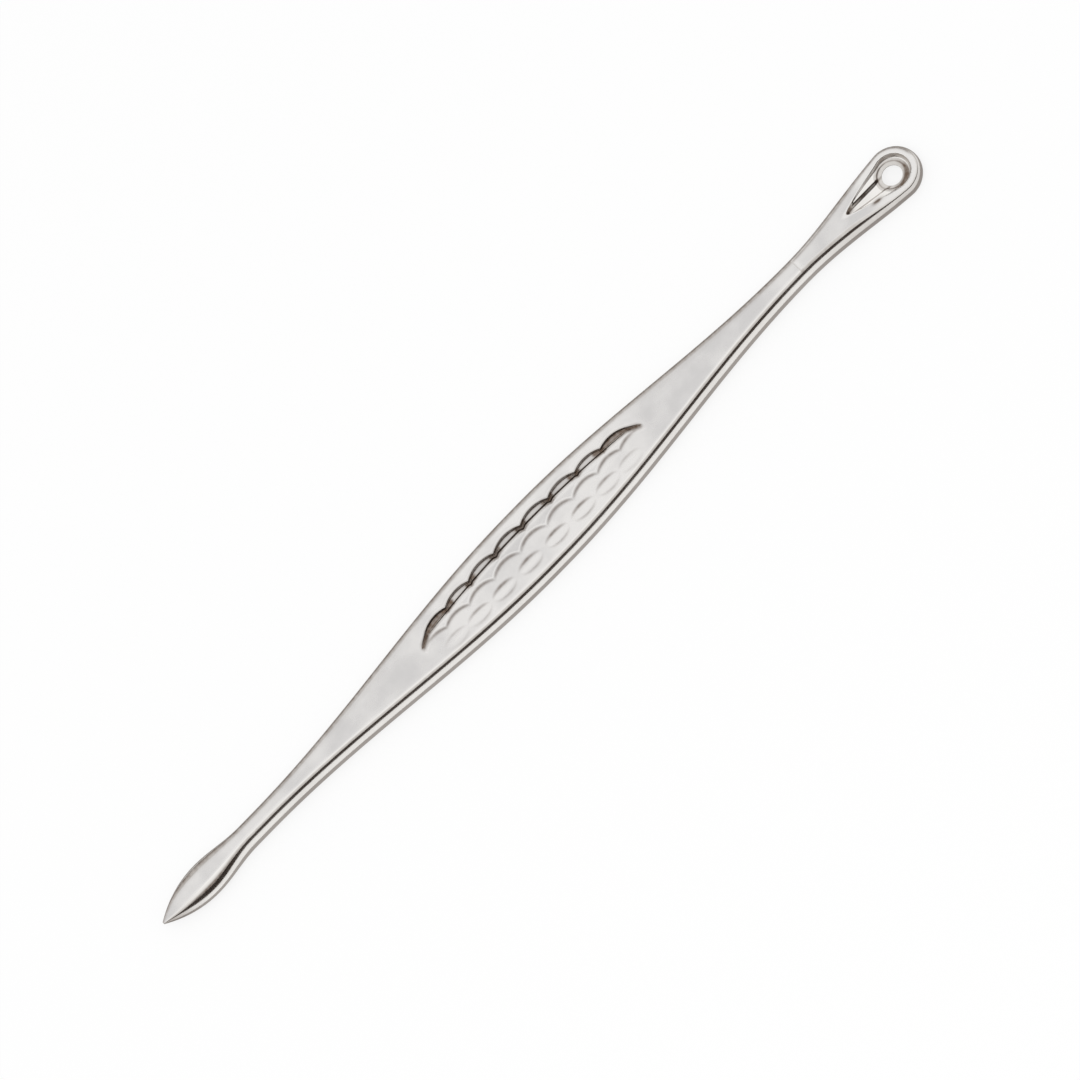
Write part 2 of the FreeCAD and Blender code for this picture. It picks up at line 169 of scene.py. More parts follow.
# The slope at which each crease's rounding runs into the bowed side, and the rows of mesh on both
CREASE_TURN = math.asin((HALF_THICKNESS - CREASE_RADIUS) / (SIDE_RADIUS - CREASE_RADIUS))
CREASE_STEPS = 7
SIDE_STEPS = 14


def side_spread(x):
    """How far in the creases lie: further on the lancet's wide bevels, less on the head's steep sides."""
    return 1 + LANCET_BEVEL * lancet_swell(x) - HEAD_STEEPNESS * thinning(x)


def side_angles():
    """Slopes down a side: those of the upper crease, from facing up, and those of the bowed side."""
    crease = np.linspace(math.pi / 2, CREASE_TURN, CREASE_STEPS + 1)[:-1]
    side = np.linspace(CREASE_TURN, -CREASE_TURN, SIDE_STEPS + 1)
    return crease, side


def side_profile(height, spread):
    """Insets from the outline and heights from the middle, down one side from top flat to underside."""
    scale = height / HALF_THICKNESS
    crease, side = side_angles()
    crease_inset = SIDE_RADIUS - math.sqrt(
        (SIDE_RADIUS - CREASE_RADIUS) ** 2 - (HALF_THICKNESS - CREASE_RADIUS) ** 2
    )
    upper_inset = crease_inset - CREASE_RADIUS * np.cos(crease)
    upper_height = HALF_THICKNESS - CREASE_RADIUS + CREASE_RADIUS * np.sin(crease)
    side_inset = SIDE_RADIUS - SIDE_RADIUS * np.cos(side)
    inset = np.concatenate([upper_inset, side_inset, upper_inset[::-1]])
    level = np.concatenate([upper_height, SIDE_RADIUS * np.sin(side), -upper_height[::-1]])
    return np.multiply.outer(scale * spread, inset), np.multiply.outer(scale, level)


# Painted highlights along the edges of the top flat, and painted shade in dark lines along the creases;
# slopes and their spreads in degrees
EDGE_HIGHLIGHT = 0.8
EDGE_HIGHLIGHT_WIDTH = 0.17
NEAR_SHADE = 0.5
NEAR_SHADE_SLOPE = 55.0
NEAR_SHADE_SPREAD = 21.0
BEVEL_SHADE = 0.88
BEVEL_SHADE_SLOPE = 42.0
BEVEL_SHADE_SPREAD = 16.0
HEAD_LINE_FADE = 0.9
HEAD_LINE_SHARE = 0.45
HEAD_SIDE_SHADE = 0.22
FAR_SHADE = 0.8
FAR_SHADE_SLOPE = 60.0
FAR_SHADE_SPREAD = 22.0
FAR_BORDER = 0.55
FAR_BORDER_WIDTH = 0.2
HEAD_BORDER = 0.62
TIP_SHADE = 0.55
TIP_SHADE_LENGTH = 3.6


def side_slopes():
    """The slope in degrees at each point down a side, as one row."""
    crease, side = side_angles()
    return np.degrees(np.concatenate([crease, side, -crease[::-1]]))[None, :]


def tip_shade(x):
    """Painted shade on both bevels close to the lancet's tip."""
    return TIP_SHADE * soft_line(x - TIP, TIP_SHADE_LENGTH)[:, None]


def far_shade(x):
    """Painted shade in a dark line along the far crease, which runs on into the border of the top flat."""
    slopes = side_slopes()
    line = soft_line(np.abs(slopes) - FAR_SHADE_SLOPE, FAR_SHADE_SPREAD)
    over_crease = blend(FAR_BORDER, FAR_SHADE, line)
    line = np.where(slopes > FAR_SHADE_SLOPE, over_crease, FAR_SHADE * line)
    return np.maximum(line, tip_shade(x))


def near_shade(x):
    """Painted shade in a dark line below the near crease: darker on the lancet, fading into painted shade
    over the whole side on the head.
    """
    swell = lancet_swell(x)[:, None]
    middle = blend(NEAR_SHADE_SLOPE, BEVEL_SHADE_SLOPE, swell)
    spread = blend(NEAR_SHADE_SPREAD, BEVEL_SHADE_SPREAD, swell)
    strength = blend(NEAR_SHADE, BEVEL_SHADE, swell)
    on_flank = rise((x - REAR_NECK) / (HEAD_LINE_SHARE * FLANK_LENGTH))[:, None]
    strength = strength * (1 - HEAD_LINE_FADE * on_flank)
    line = strength * soft_line(np.abs(side_slopes()) - middle, spread)
    return np.maximum(line + HEAD_SIDE_SHADE * on_flank, tip_shade(x))


def far_border(y, flat):
    """Painted shade along the far edge of the top flat."""
    return FAR_BORDER * soft_line(y - flat, FAR_BORDER_WIDTH)


def edge_highlight(y, flat):
    """Painted highlights along both edges of the top flat."""
    return EDGE_HIGHLIGHT * soft_line(np.abs(y) - flat, EDGE_HIGHLIGHT_WIDTH)


# Fish-scale grip: three rows of scales, with floors that rise towards the near side
# Columns are numbered from the grip's middle and crowd a little towards its ends
GRIP_MIDDLE = -0.45
COLUMN_PITCH = 4.06
COLUMN_CROWDING = 0.0056
FIRST_COLUMNS = np.arange(8) - 3.5
SECOND_COLUMNS = np.arange(9) - 4.0
FLOOR_SLOPE = 0.2

# First row: an arched wall, a narrow ledge and a second wall, whose foot runs nearly straight
FIRST_RADIUS = 3.8
FIRST_CREST = 2.61
FIRST_CREST_RADIUS = 110.0
FIRST_DEPTH = 0.75
FIRST_WALL_OUT = 0.13
FIRST_WALL_IN = 0.13
FIRST_WALL_SHARE = 0.44
LEDGE_SHARE = 0.15
LEDGE_LEAST = 0.02
FOOT_FALL = 0.6
FOOT_WALL_OUT = 0.1
FOOT_WALL_IN = 0.15

# Second row: soft arches, each deepest in its middle
SECOND_RADIUS = 2.7
SECOND_CREST = 0.72
SECOND_CREST_RADIUS = 360.0
SECOND_DEPTH = 0.6
SECOND_WALL_OUT = 0.15
SECOND_WALL_IN = 0.23
SECOND_GAP = 0.03
ARCH_POWER = 4
ARCH_BLEND = 0.5

# Third row: shallow ovals, fainter towards the ends of the grip
OVAL_HALF_LENGTH = 1.75
OVAL_HALF_WIDTH = 0.8
OVAL_LEAST = 0.06
OVAL_MIDDLE = -2.08
OVAL_DEPTH = 0.4
OVAL_POWER = 1.2
OVAL_TOP_WALL = 0.17
OVAL_LOW_WALL = 0.26
OVAL_FULL_WALL = 0.4
OVAL_FADE = 0.6
OVAL_FADE_START = 7.0
OVAL_FADE_LENGTH = 7.0

# Pointed ends of the grip, measured from its middle
WEDGE_START = 15.2
WEDGE_TIP = 16.9
WEDGE_TIP_Y = 0.1
WEDGE_FADE_START = 16.4
WEDGE_FADE_LENGTH = 0.6
FADE_START = 14.2
FADE_END = 17.2

# Rows of mesh on each strip of the grip, from the far edge of the top to the near one
STRIP_ROWS = (8, 10, 8, 9, 12, 9, 12, 8, 8, 8, 8)
BRIGHT_STRIPS = (1, 3)
LEAST_STRIP = 0.02

# Painted shade and painted highlights that follow the grip's lines: strength, distance above the line and
# width
LIP_SHADE = (0.7, -0.02, 0.16)
POINT_SHADE = (0.9, -0.22, 0.33)
FOOT_SHADE = (1.0, -0.03, 0.18)
ARC_SHADE = (0.66, -0.04, 0.19)
OVAL_TOP_SHADE = (0.72, -0.02, 0.17)
OVAL_LOW_SHADE = (0.36, 0.0, 0.2)
RIM_HIGHLIGHT = (0.6, 0.28, 0.12)
FLOOR_HIGHLIGHT = (0.75, -0.4, 0.3)
ARCH_HIGHLIGHT = (0.9, 0.26, 0.12)
OVAL_HIGHLIGHT = (0.8, 0.0, 0.3)

# Painted shade at the knots between the arches, on the ledge and at the foot, and the parts of the top made
# lighter
KNOT_SHADE = 0.9
KNOT_REACH = 1.15
KNOT_FADE = 0.5
KNOT_FOOT_FADE = 0.15
SHADE_FADE = 0.1
FOOT_SHADE_LEAST = 0.45
FOOT_SHADE_MOST = 0.8
LEDGE_SHADE_LEAST = 0.1
LEDGE_SHADE_MOST = 0.7
LEDGE_SHADE_START = 11.0
LEDGE_SHADE_LENGTH = 2.0
POINT_SHADE_LENGTH = 0.8
GRIP_SHADE_LIMIT = 0.95
LIGHTENING_FADE_START = 10.5
HIGH_LIGHTENING = 0.5
HIGH_LIGHTENING_GAP = 0.3
HIGH_LIGHTENING_FADE = 0.4
LOW_LIGHTENING = 0.4
LOW_LIGHTENING_FADE = 0.6


def column_place(column):
    """How far a column of scales lies from the grip's middle."""
    return COLUMN_PITCH * column * (1 - COLUMN_CROWDING * column**2)


def nearest_column(offset, columns):
    """The distance from each place to the nearest column of a row."""
    return np.abs(offset - column_place(columns)).min(axis=1, keepdims=True)


def arch_line(offset, columns, radius, crest, crest_radius):
    """The upper edge of a row of arches, at each place measured from the grip's middle."""
    line = np.full(offset.shape, -np.inf)
    for column in columns:
        middle = column_place(column)
        top = crest - middle**2 / (2 * crest_radius)
        reach = np.clip(np.abs(offset - middle), 0, radius)
        line = np.maximum(line, top - radius + np.sqrt(radius**2 - reach**2))
    return line


def first_arches(offset):
    """The upper edge of the first row's arches."""
    return arch_line(offset, FIRST_COLUMNS, FIRST_RADIUS, FIRST_CREST, FIRST_CREST_RADIUS)


def first_edge(offset):
    """The grip's upper edge: the first row's arches, then a straight run down to the pointed end."""
    wedge_top = first_arches(np.full(1, WEDGE_START))[0]
    along = (np.abs(offset) - WEDGE_START) / (WEDGE_TIP - WEDGE_START)
    wedge = blend(wedge_top, WEDGE_TIP_Y, along)
    return np.where(along > 0, wedge, first_arches(offset))


def second_edge(offset):
    """The upper edge of the second row."""
    inner = np.clip(offset, -WEDGE_TIP, WEDGE_TIP)
    return arch_line(inner, SECOND_COLUMNS, SECOND_RADIUS, SECOND_CREST, SECOND_CREST_RADIUS)


def foot_edge(offset):
    """The foot of the first row's walls, which runs nearly straight from knot to knot."""
    return FIRST_CREST - FOOT_FALL - offset**2 / (2 * FIRST_CREST_RADIUS)


def oval_reach(offset):
    """Half the width of the third row's ovals, and how deep they are there, as a share."""
    share = np.clip(nearest_column(offset, FIRST_COLUMNS) / OVAL_HALF_LENGTH, 0, 1)
    reach = np.maximum(OVAL_HALF_WIDTH * np.sqrt(1 - share**2), OVAL_LEAST)
    return reach, (1 - share**2) ** OVAL_POWER


class GripLines:
    """The lines that border the rows of scales, and how strong each row is, at each station."""

    def __init__(self, x, flat):
        self.offset = np.clip(x - GRIP_MIDDLE, -FADE_END, FADE_END)[:, None]
        self.distance = np.abs(self.offset)
        self.flat = flat[:, None]
        self.upper = first_edge(self.offset)
        highest_foot = self.upper - FIRST_WALL_IN - FOOT_WALL_OUT - LEDGE_LEAST
        self.foot = np.minimum(foot_edge(self.offset), highest_foot)
        highest_second = self.foot - FOOT_WALL_IN - SECOND_WALL_OUT - SECOND_GAP
        self.second = np.minimum(second_edge(self.offset), highest_second)
        reach, depth_share = oval_reach(self.offset)
        wall_share = np.clip(reach / OVAL_FULL_WALL, 0, 1)
        self.top_wall = wall_share * OVAL_TOP_WALL
        self.low_wall = wall_share * OVAL_LOW_WALL
        self.oval_top = OVAL_MIDDLE + reach
        self.oval_low = OVAL_MIDDLE - reach
        self.first_strength = 1 - step(self.distance - WEDGE_FADE_START, WEDGE_FADE_LENGTH)
        self.second_strength = 1 - step(self.distance - FADE_START, FADE_END - FADE_START)
        from_crest = nearest_column(self.offset, SECOND_COLUMNS) / (COLUMN_PITCH / 2)
        self.arch_strength = 1 - np.clip(from_crest, 0, 1) ** ARCH_POWER
        towards_end = step(self.distance - OVAL_FADE_START, OVAL_FADE_LENGTH)
        self.oval_strength = depth_share * (1 - OVAL_FADE * towards_end)
        self.borders = self.strip_borders()

    def strip_borders(self):
        """The borders of the strips of mesh, kept in order where the ovals come close to the edge."""
        borders = [
            self.flat,
            self.upper + FIRST_WALL_OUT,
            self.upper - FIRST_WALL_IN,
            self.foot + FOOT_WALL_OUT,
            self.foot - FOOT_WALL_IN,
            self.second + SECOND_WALL_OUT,
            self.second - SECOND_WALL_IN,
            self.oval_top + self.top_wall,
            self.oval_top - self.top_wall,
            self.oval_low + self.low_wall,
            self.oval_low - self.low_wall,
            -self.flat,
        ]
        for number in range(len(borders) - 2, 0, -1):
            borders[number] = np.maximum(borders[number], borders[number + 1] + LEAST_STRIP)
        return borders


def line_mark(y, line, mark):
    """A mark that follows one of the grip's lines."""
    strength, above, width = mark
    return strength * soft_line(y - (line + above), width)


def grip_depth(y, lines):
    """How deep each place lies below the top."""
    arch_top, arch_foot, foot_top = lines.borders[1:4]
    second_top = lines.borders[5]
    oval_start = lines.borders[7]
    oval_end = lines.borders[10]
    first_floor = np.maximum(FIRST_DEPTH - FLOOR_SLOPE * (FIRST_CREST - y), 0) * lines.first_strength
    arch_wall = FIRST_WALL_SHARE * step(arch_top - y, FIRST_WALL_OUT + FIRST_WALL_IN)
    ledge = LEDGE_SHARE * np.clip((arch_foot - y) / (arch_foot - foot_top), 0, 1)
    foot_share = 1 - FIRST_WALL_SHARE - LEDGE_SHARE
    foot_wall = foot_share * step(foot_top - y, FOOT_WALL_OUT + FOOT_WALL_IN)
    depth = first_floor * (arch_wall + ledge + foot_wall)

    second_floor = np.maximum(SECOND_DEPTH - FLOOR_SLOPE * (SECOND_CREST - y), 0) * lines.second_strength
    second_wall = step(second_top - y, SECOND_WALL_OUT + SECOND_WALL_IN)
    below_edge = np.exp(-np.clip(lines.second - y, 0, None) / ARCH_BLEND)
    second_share = second_wall * (1 - (1 - lines.arch_strength) * below_edge)
    depth = depth + second_share * np.maximum(second_floor - depth, 0)

    oval_floor = OVAL_DEPTH - FLOOR_SLOPE * (OVAL_MIDDLE + OVAL_HALF_WIDTH - y)
    oval_share = step(oval_start - y, 2 * lines.top_wall) * lines.oval_strength
    oval_share = oval_share * step(y - oval_end, 2 * lines.low_wall)
    return depth + oval_share * np.maximum(oval_floor - depth, 0)


def grip_shade(y, lines):
    """Painted shade in corners, knots and pointed ends, on arcs and ovals, and along the far border."""
    knot = step(KNOT_REACH - nearest_column(lines.offset, SECOND_COLUMNS[1:-1]), KNOT_FADE)
    arch_top = lines.borders[1]
    foot_end = lines.borders[4]
    in_walls = step(arch_top - y, SHADE_FADE) * step(y - (foot_end - SHADE_FADE), KNOT_FOOT_FADE)
    beside_knot = step(nearest_column(lines.offset, FIRST_COLUMNS), COLUMN_PITCH / 2)
    foot = blend(FOOT_SHADE_LEAST, FOOT_SHADE_MOST, beside_knot) * line_mark(y, lines.foot, FOOT_SHADE)
    towards_end = step(lines.distance - LEDGE_SHADE_START, LEDGE_SHADE_LENGTH)
    on_ledge = step(lines.upper - y, SHADE_FADE) * step(y - lines.foot, SHADE_FADE)
    ledge = blend(LEDGE_SHADE_LEAST, LEDGE_SHADE_MOST, towards_end) * on_ledge
    corners = line_mark(y, lines.upper, LIP_SHADE) + foot + ledge
    in_wedge = step(lines.distance - WEDGE_START + POINT_SHADE_LENGTH, POINT_SHADE_LENGTH)
    point = in_wedge * line_mark(y, lines.upper, POINT_SHADE)
    darkest = np.maximum(KNOT_SHADE * knot * in_walls, point)
    first_row = np.maximum(corners, darkest) * lines.first_strength
    arcs = line_mark(y, lines.second, ARC_SHADE) * lines.arch_strength * lines.second_strength
    ovals = line_mark(y, lines.oval_top, OVAL_TOP_SHADE) + line_mark(y, lines.oval_low, OVAL_LOW_SHADE)
    darkening = first_row + arcs + ovals * lines.oval_strength + far_border(y, lines.flat)
    return np.clip(darkening, 0, GRIP_SHADE_LIMIT)


def grip_highlights(y, lines):
    """Painted highlights on rims, floors and edges, and the top made lighter above and below the grip; the
    metal also shows all of these smoother.
    """
    first_row = line_mark(y, lines.upper, RIM_HIGHLIGHT) + line_mark(y, lines.foot, FLOOR_HIGHLIGHT)
    arches = line_mark(y, lines.second, ARCH_HIGHLIGHT) * lines.second_strength
    ovals = line_mark(y, OVAL_MIDDLE, OVAL_HIGHLIGHT) * lines.oval_strength
    highlight_lines = first_row * lines.first_strength + arches + ovals + edge_highlight(y, lines.flat)
    high = HIGH_LIGHTENING * step(y - (lines.upper + HIGH_LIGHTENING_GAP), HIGH_LIGHTENING_FADE)
    low = LOW_LIGHTENING * step(lines.second - y, LOW_LIGHTENING_FADE)
    towards_end = step(lines.distance - LIGHTENING_FADE_START, FADE_END - LIGHTENING_FADE_START)
    return np.clip(highlight_lines + (high + low) * (1 - towards_end), 0, 1)


def grip_top(x, flat):
    """Rows of points over the top with the grip sunk into it: places across, depths, and painted shade and
    highlights.
    """
    lines = GripLines(x, flat)
    strips = []
    for number, rows in enumerate(STRIP_ROWS):
        share = np.arange(rows) / rows
        strips.append(blend(lines.borders[number], lines.borders[number + 1], share))
    y = np.concatenate(strips + [-lines.flat], axis=1)
    on_wall = np.zeros(y.shape[1] - 1, dtype=bool)
    for strip in BRIGHT_STRIPS:
        start = sum(STRIP_ROWS[:strip])
        on_wall[start:start + STRIP_ROWS[strip]] = True
    bright = on_wall & (lines.distance[:-1] < WEDGE_START)
    return y, grip_depth(y, lines), grip_shade(y, lines), grip_highlights(y, lines), bright


# Materials: satin top and bottom faces, bright sides and walls, and a brown tint for painted shade and
# tarnish in corners, creases and hollows
SHADE_AND_TARNISH_TINT = (0.14, 0.1, 0.074)
OPAQUE = (1.0,)

# Noise in the plating: its scale and detail, and the ranges that it is spread over
PATCH_NOISE = (220.0, 4.0)
GRAIN_NOISE = (5200.0, 3.0)
BLOTCH_NOISE = (1900.0, 3.0)
DRAWN_NOISE = (1.0, 4.0)
DRAWN_STRETCH = (260.0, 5200.0, 5200.0)
NOISE_RANGE = (0.3, 0.7)
MOTTLE_RANGE = (0.37, 0.63)
MOTTLE_SHARES = (0.0, 0.7)
BLOTCH_SHARES = (0.85, 1.15)


def shade(tree, kind, output, sources, **settings):
    """Adds a shader node, fed with plain values or other nodes' outputs, and gives back one output."""
    node = tree.nodes.new(kind)
    for name, value in settings.items():
        setattr(node, name, value)
    for socket, source in sources.items():
        if isinstance(source, bpy.types.NodeSocket):
            tree.links.new(source, node.inputs[socket])
        else:
            node.inputs[socket].default_value = source
    return node.outputs[output]


def calculate(tree, operation, *values, clamp=False):
    """One step of arithmetic on plain values or other nodes' outputs."""
    sources = dict(enumerate(values))
    return shade(tree, "ShaderNodeMath", "Value", sources, operation=operation, use_clamp=clamp)


def noise(tree, place, scale_and_detail):
    """Cloudy noise in the plating."""
    scale, detail = scale_and_detail
    return shade(tree, "ShaderNodeTexNoise", "Fac", {"Vector": place, "Scale": scale, "Detail": detail})


def spread_over(tree, value, old_range, new_range):
    """A value carried over from one range to another."""
    sources = {
        "Value": value,
        "From Min": old_range[0],
        "From Max": old_range[1],
        "To Min": new_range[0],
        "To Max": new_range[1],
    }
    return shade(tree, "ShaderNodeMapRange", "Result", sources)


def mix(tree, kind, share, start, end):
    """A blend of two colours or of two values."""
    return shade(tree, "ShaderNodeMix", "Result", {"Factor": share, "A": start, "B": end}, data_type=kind)


def plated_steel(name, dark_tint, light_tint, smoothest, roughest, grain_height, drawn_height):
    """Nickel-plated steel with fine grain, faint drawn lines and uneven gloss, lightened by painted
    highlights that are also smoother, and turned brown by painted shade and tarnish.
    """
    material = bpy.data.materials.new(name)
    material.use_nodes = True
    tree = material.node_tree
    place = tree.nodes.new("ShaderNodeTexCoord").outputs["Object"]
    wear_and_highlight = shade(tree, "ShaderNodeAttribute", "Fac", {}, attribute_name="wear_and_highlight")
    shade_and_tarnish = shade(tree, "ShaderNodeAttribute", "Fac", {}, attribute_name="shade_and_tarnish")
    patches = noise(tree, place, PATCH_NOISE)

    mottle = spread_over(tree, patches, MOTTLE_RANGE, MOTTLE_SHARES)
    # Painted highlight: the bright mark lightens the tint here, and further down it also makes the metal
    # smoother.
    lightness = calculate(tree, "ADD", mottle, wear_and_highlight, clamp=True)
    tint = mix(tree, "RGBA", lightness, dark_tint + OPAQUE, light_tint + OPAQUE)
    blotches = spread_over(tree, noise(tree, place, BLOTCH_NOISE), NOISE_RANGE, BLOTCH_SHARES)
    # Painted shade and tarnish: the dark mark, broken up by blotches, turns the tint brown.
    darkening = calculate(tree, "MULTIPLY", shade_and_tarnish, blotches, clamp=True)
    colour = mix(tree, "RGBA", darkening, tint, SHADE_AND_TARNISH_TINT + OPAQUE)

    uneven = spread_over(tree, patches, NOISE_RANGE, (smoothest, roughest))
    roughness = mix(tree, "FLOAT", wear_and_highlight, uneven, smoothest)

    grain = {"Height": noise(tree, place, GRAIN_NOISE), "Strength": 1.0, "Distance": grain_height * MM}
    grained = shade(tree, "ShaderNodeBump", "Normal", grain)
    stretched = shade(tree, "ShaderNodeMapping", "Vector", {"Vector": place, "Scale": DRAWN_STRETCH})
    drawn = {"Height": noise(tree, stretched, DRAWN_NOISE), "Strength": 1.0, "Distance": drawn_height * MM}
    normal = shade(tree, "ShaderNodeBump", "Normal", drawn | {"Normal": grained})

    shader = tree.nodes["Principled BSDF"]
    shader.inputs["Metallic"].default_value = 1.0
    tree.links.new(colour, shader.inputs["Base Color"])
    tree.links.new(roughness, shader.inputs["Roughness"])
    tree.links.new(normal, shader.inputs["Normal"])
    return material


SATIN = plated_steel(
    "satin_nickel",
    dark_tint=(0.635, 0.622, 0.615),
    light_tint=(0.795, 0.778, 0.762),
    smoothest=0.22,
    roughest=0.34,
    grain_height=0.004,
    drawn_height=0.003,
)
BRIGHT = plated_steel(
    "bright_nickel",
    dark_tint=(0.82, 0.797, 0.768),
    light_tint=(0.9, 0.88, 0.852),
    smoothest=0.1,
    roughest=0.18,
    grain_height=0.001,
    drawn_height=0.001,
)
SATIN_INDEX = 0
BRIGHT_INDEX = 1


def add_object(name, data):
    """An object in the scene that shows a mesh, lamp or camera."""
    added = bpy.data.objects.new(name, data)
    bpy.context.scene.collection.objects.link(added)
    return added


def make_piece(name, node, points, faces, finishes, wear_and_highlight, shade_and_tarnish):
    """A mesh piece from points in millimetres, closed at any open end, in place of a CAD node."""
    mesh = bpy.data.meshes.new(name)
    mesh.from_pydata((points * MM).reshape(-1, 3).tolist(), [], faces.tolist())
    mesh.polygons.foreach_set("material_index", finishes.astype(np.int32).reshape(-1))
    mesh.polygons.foreach_set("use_smooth", np.ones(len(faces), dtype=bool))
    # Both marks are stored on the points: painted highlights that also smooth the metal, and painted shade
    # with tarnish.
    for mark, values in (("wear_and_highlight", wear_and_highlight), ("shade_and_tarnish", shade_and_tarnish)):
        attribute = mesh.attributes.new(mark, "FLOAT", "POINT")
        attribute.data.foreach_set("value", values.astype(np.float32).reshape(-1))
    mesh.materials.append(SATIN)
    mesh.materials.append(BRIGHT)
    shape = bmesh.new()
    shape.from_mesh(mesh)
    open_edges = [edge for edge in shape.edges if edge.is_boundary]
    for edge in open_edges:
        edge.smooth = False
    bmesh.ops.holes_fill(shape, edges=open_edges)
    bmesh.ops.recalc_face_normals(shape, faces=shape.faces)
    shape.to_mesh(mesh)
    shape.free()
    piece = add_object(name, mesh)
    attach(piece, "root")
    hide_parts(node)
    return piece


def grid_faces(rows, columns, closed_rows=False, closed_columns=True):
    """Quads over a grid of points, which can join its last row or column to its first."""
    index = np.arange(rows * columns).reshape(rows, columns)
    if closed_rows:
        index = np.concatenate([index, index[:1]])
    if closed_columns:
        index = np.concatenate([index, index[:, :1]], axis=1)
    corners = [index[:-1, :-1], index[:-1, 1:], index[1:, 1:], index[1:, :-1]]
    return np.stack(corners, axis=-1).reshape(-1, 4)


# Bar pieces: rings of points round each cross-section, closer together beside the creases
EDGE_ROWS = np.array([0.0, 0.06, 0.14, 0.26])
MIDDLE_ROWS = np.array([0.6, 0.2, -0.2, -0.6])
PLAIN_COUNT = 2 * len(EDGE_ROWS) + len(MIDDLE_ROWS)
NARROW_HALF = 0.6


def plain_rows(flat):
    """Places across a plain flat face at each station, from the far edge to the near one."""
    border = np.multiply.outer(np.clip(flat / NARROW_HALF, 0, 1), EDGE_ROWS)
    upper = flat[:, None] - border
    middle = np.multiply.outer(flat - border[:, -1], MIDDLE_ROWS)
    return np.concatenate([upper, middle, -upper[:, ::-1]], axis=1)


def plain_top(x, flat):
    """Rows of points over a plain flat top: places across, depths, and painted shade and highlights."""
    y = plain_rows(flat)
    edge = flat[:, None]
    bright = np.zeros((len(x) - 1, PLAIN_COUNT - 1), dtype=bool)
    return y, np.zeros(y.shape), far_border(y, edge), edge_highlight(y, edge), bright


def make_bar(name, node, x, top=plain_top):
    """A stretch of the forging between two of the frame's stations."""
    width = half_width(x)
    height = half_height(x)
    inset, level = side_profile(height, side_spread(x))
    flat = width - inset[:, 0]
    top_y, depth, top_shade, top_highlight, top_bright = top(x, flat)
    top_z = height[:, None] - depth
    near_y = -(width[:, None] - inset[:, 1:-1])
    near_z = level[:, 1:-1]
    under_y = -plain_rows(flat)
    under_z = np.repeat(-height[:, None], PLAIN_COUNT, axis=1)
    across = np.concatenate([top_y, near_y, under_y, -near_y[:, ::-1]], axis=1)
    up = np.concatenate([top_z, near_z, under_z, near_z[:, ::-1]], axis=1)
    up = up + middle_height(x)[:, None]
    stations, columns = across.shape
    along = np.repeat(x[:, None], columns, axis=1)
    points = np.stack([along, across, up], axis=-1)
    top_columns = top_y.shape[1]
    first_under = top_columns + near_y.shape[1]
    finishes = np.full((stations - 1, columns), BRIGHT_INDEX)
    finishes[:, :top_columns - 1] = np.where(top_bright, BRIGHT_INDEX, SATIN_INDEX)
    finishes[:, first_under:first_under + PLAIN_COUNT - 1] = SATIN_INDEX
    # Painted highlights on the top and along both creases, and painted shade on the top and down both sides
    wear_and_highlight = np.zeros((stations, columns))
    wear_and_highlight[:, :top_columns] = top_highlight
    wear_and_highlight[:, [top_columns, columns - 1]] = EDGE_HIGHLIGHT
    shade_and_tarnish = np.zeros((stations, columns))
    shade_and_tarnish[:, :top_columns] = top_shade
    shade_and_tarnish[:, top_columns:first_under] = near_shade(x)[:, 1:-1]
    shade_and_tarnish[:, first_under + PLAIN_COUNT:] = far_shade(x)[:, -2:0:-1]
    make_piece(name, node, points, grid_faces(stations, columns), finishes, wear_and_highlight, shade_and_tarnish)


def stations_between(start, end, spacing):
    """Evenly spaced stations from start to end."""
    return np.linspace(start, end, max(2, round((end - start) / spacing) + 1))


# Stations along the lancet lie closest at its tip
TIP_LENGTH = 1.0
TIP_SPACING = 0.05
LANCET_SPACING = 0.2
SHANK_SPACING = 0.4
lancet_x = np.concatenate([
    stations_between(TIP, TIP + TIP_LENGTH, TIP_SPACING)[:-1],
    stations_between(TIP + TIP_LENGTH, FRONT_TAPER_START, LANCET_SPACING),
])
make_bar("lancet_plated", "lancet", lancet_x)
front_x = stations_between(FRONT_TAPER_START, HANDLE_FRONT, SHANK_SPACING)
make_bar("front_shank_plated", "front_shank", front_x)
rear_x = stations_between(HANDLE_REAR, REAR_NECK, SHANK_SPACING)
make_bar("rear_shank_plated", "rear_shank", rear_x)

# The handle carries the grip, so its top is a fine grid that follows the rows of scales
GRIP_START = GRIP_MIDDLE - FADE_END
GRIP_END = GRIP_MIDDLE + FADE_END
GRIP_SPACING = 0.07
handle_x = np.concatenate([
    stations_between(HANDLE_FRONT, GRIP_START, SHANK_SPACING)[:-1],
    stations_between(GRIP_START, GRIP_END, GRIP_SPACING),
    stations_between(GRIP_END, HANDLE_REAR, SHANK_SPACING)[1:],
])
make_bar("handle_plated", "handle", handle_x, grip_top)

# Head: rays from the eye out to the rim, down the side and back underneath
eye_mount = next(mount for mount in frame["record"]["mounts"] if mount["name"] == "eye")
EYE_X = eye_mount["pos_m"][0] / MM
EYE_RADIUS = eye_mount["dims"]["r_mm"]
WEB_MIDDLE = eye_mount["pos_m"][2] / MM
WEB_EDGE = 0.1
COUNTERSINK_RADIUS = 2.0

# Dish: a pointed ramp that falls from its apex towards the eye, walled by a teardrop rim with a bead
APEX_REACH = 6.6
RIM_SPREAD = 0.53
RIM_POWER = 0.76
RIM_END_RADIUS = 2.2
RIM_WALL = 0.36
RIM_HALVINGS = 40
LEAST_LAND = 0.12
BEAD_HEIGHT = 0.1
BEAD_START = -5.0
BEAD_FULL = -1.5
RAMP_START = 0.03
RAMP_FALL = 0.065

